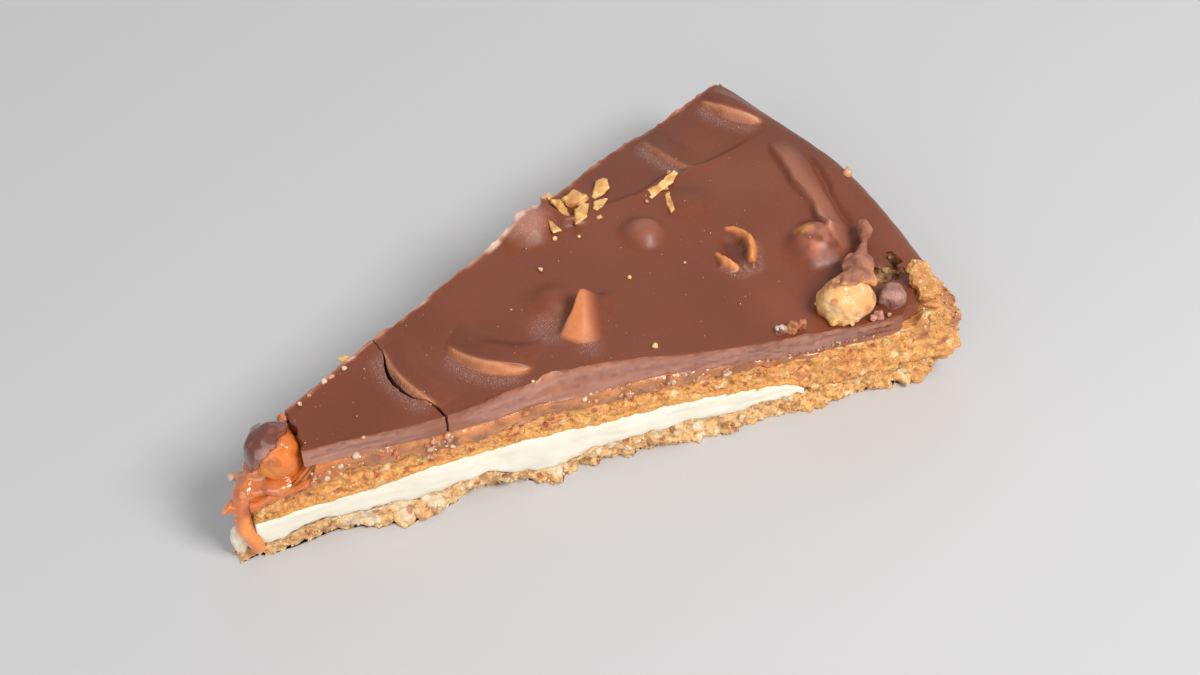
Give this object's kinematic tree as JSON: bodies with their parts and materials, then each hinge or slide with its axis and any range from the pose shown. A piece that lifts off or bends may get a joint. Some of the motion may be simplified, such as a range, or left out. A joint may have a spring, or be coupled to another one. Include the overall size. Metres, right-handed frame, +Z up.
{
  "type": "caramel peanut cake slice",
  "caption": "Wedge slice of layered cake: almond crumb base, cream filling, golden crumb, caramel and a milk chocolate plate with peanuts, broken and nibbled as cut.",
  "frame": {"origin": "on the table, under the middle of the slice's box", "axes": "+X runs from the slice's tip to its rim along the middle line, +Y to the back cut, +Z up"},
  "size_m": [0.1253, 0.0675, 0.0266],
  "materials": {
    "almond_crumb_pale": "coarse open crumb, dull",
    "cream": "smooth, soft sheen",
    "almond_crumb_golden": "moist granular crumb",
    "caramel": "glossy and translucent",
    "milk_chocolate": "satin, dull where it was cut",
    "peanut_in_caramel": "glossy caramel coat",
    "dark_shell": "glossy chocolate",
    "peanut": "roasted, slightly oily",
    "matte_chocolate": "scuffed and dull",
    "brittle": "rough caramelised sugar"
  },
  "bodies": {
    "root": {"almond_base": "almond_crumb_pale", "cream_filling": "cream", "upper_crumb": "almond_crumb_golden", "caramel": "caramel", "chocolate": "milk_chocolate", "peanut_tip": "peanut_in_caramel", "tip_shell": "dark_shell", "peanut_side": "peanut", "peanut_crushed": "peanut", "chocolate_lump": "matte_chocolate", "brittle_chunk": "brittle"}
  },
  "joints": []
}
